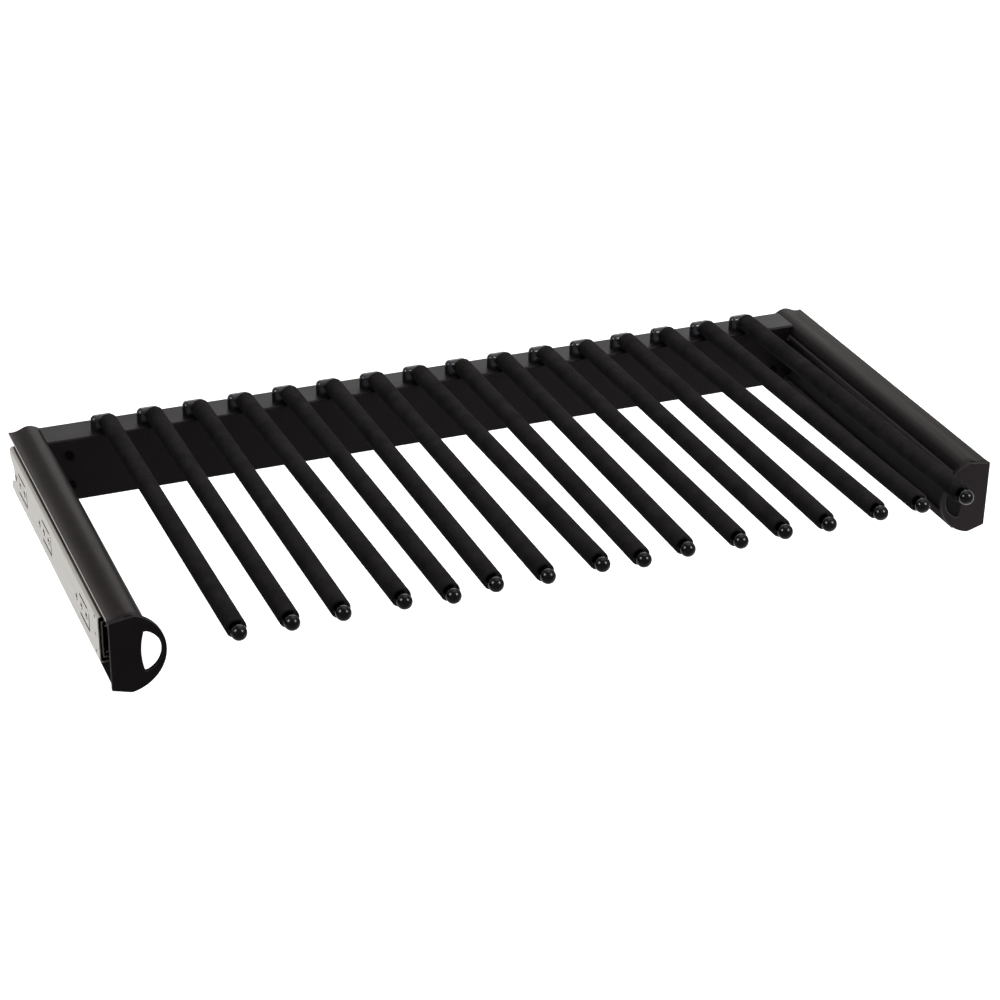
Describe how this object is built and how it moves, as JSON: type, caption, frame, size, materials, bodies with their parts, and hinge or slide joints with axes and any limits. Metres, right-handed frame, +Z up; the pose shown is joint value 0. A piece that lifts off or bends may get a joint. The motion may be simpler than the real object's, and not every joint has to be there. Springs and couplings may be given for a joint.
{
  "type": "pull out trouser rack",
  "caption": "Wide wardrobe pull-out on ball runners: a row of flocked trouser bars with ball tips stands on a rear channel between two rails with finger-ring handles.",
  "frame": {"origin": "on the left cabinet wall's face, midway between the two stated screw holes of the left runner", "axes": "+X across to the right wall, +Y to the back of the cabinet, +Z up; the rack pulls out along -Y"},
  "size_m": [0.864, 0.4807, 0.1008],
  "materials": {
    "rail_black": "satin black anodised extrusion",
    "cover_black": "satin black anodised extrusion",
    "cap_plastic": "black moulding, satin",
    "channel_black": "black powder coat, satin",
    "bracket_steel": "black powder coat",
    "runner_zinc": "zinc plated",
    "cage_steel": "thin pressed strip",
    "bearing_steel": "polished",
    "screw_zinc": "zinc plated",
    "screw_black": "black",
    "tube_steel": "plain drawn tube",
    "tip_gloss": "glossy black",
    "flock": "short black flock on a plastic sleeve",
    "holder_gloss": "glossy black moulding"
  },
  "bodies": {
    "cabinet_runners": {"left_cabinet_runner": "runner_zinc", "right_cabinet_runner": "runner_zinc"},
    "middle_runners": {"left_middle_runner": "runner_zinc", "right_middle_runner": "runner_zinc"},
    "outer_cages": {"left_outer_ball_cage": "cage_steel", "right_outer_ball_cage": "cage_steel", "outer_bearing_balls": "bearing_steel"},
    "inner_cages": {"left_inner_ball_cage": "cage_steel", "right_inner_ball_cage": "cage_steel", "inner_bearing_balls": "bearing_steel"},
    "rack": {"ball_tips": "tip_gloss", "bar_holder_01": "holder_gloss", "bar_holder_02": "holder_gloss", "bar_holder_03": "holder_gloss", "bar_holder_04": "holder_gloss", "bar_holder_05": "holder_gloss", "bar_holder_06": "holder_gloss", "bar_holder_07": "holder_gloss", "bar_holder_08": "holder_gloss", "bar_holder_09": "holder_gloss", "bar_holder_10": "holder_gloss", "bar_holder_11": "holder_gloss", "bar_holder_12": "holder_gloss", "bar_holder_13": "holder_gloss", "bar_holder_14": "holder_gloss", "bar_holder_15": "holder_gloss", "bar_holder_16": "holder_gloss", "bar_sleeve_01": "flock", "bar_sleeve_02": "flock", "bar_sleeve_03": "flock", "bar_sleeve_04": "flock", "bar_sleeve_05": "flock", "bar_sleeve_06": "flock", "bar_sleeve_07": "flock", "bar_sleeve_08": "flock", "bar_sleeve_09": "flock", "bar_sleeve_10": "flock", "bar_sleeve_11": "flock", "bar_sleeve_12": "flock", "bar_sleeve_13": "flock", "bar_sleeve_14": "flock", "bar_sleeve_15": "flock", "bar_sleeve_16": "flock", "bar_tubes": "tube_steel", "bracket_channel_screws": "screw_black", "bracket_rail_screws": "screw_zinc", "holder_screws": "screw_zinc", "left_corner_bracket": "bracket_steel", "left_handle_cap": "cap_plastic", "left_rack_runner": "runner_zinc", "left_rail_cover": "cover_black", "left_side_rail": "rail_black", "rear_channel": "channel_black", "right_corner_bracket": "bracket_steel", "right_handle_cap": "cap_plastic", "right_rack_runner": "runner_zinc", "right_rail_cover": "cover_black", "right_side_rail": "rail_black", "runner_screws": "screw_zinc"}
  },
  "joints": [
    {"name": "rack_slide", "type": "slide", "parent": "cabinet_runners", "child": "rack", "axis": [0, -1, 0], "range_m": [0, 0.345]},
    {"name": "middle_slide", "type": "slide", "parent": "cabinet_runners", "child": "middle_runners", "axis": [0, -1, 0], "range_m": [0, 0.1725]},
    {"name": "outer_cage_slide", "type": "slide", "parent": "cabinet_runners", "child": "outer_cages", "axis": [0, -1, 0], "range_m": [0, 0.08625]},
    {"name": "inner_cage_slide", "type": "slide", "parent": "cabinet_runners", "child": "inner_cages", "axis": [0, -1, 0], "range_m": [0, 0.25875]}
  ],
  "couplings": [
    {"joint": "middle_slide", "follows": "rack_slide", "ratio": 0.5},
    {"joint": "outer_cage_slide", "follows": "rack_slide", "ratio": 0.25},
    {"joint": "inner_cage_slide", "follows": "rack_slide", "ratio": 0.75}
  ]
}
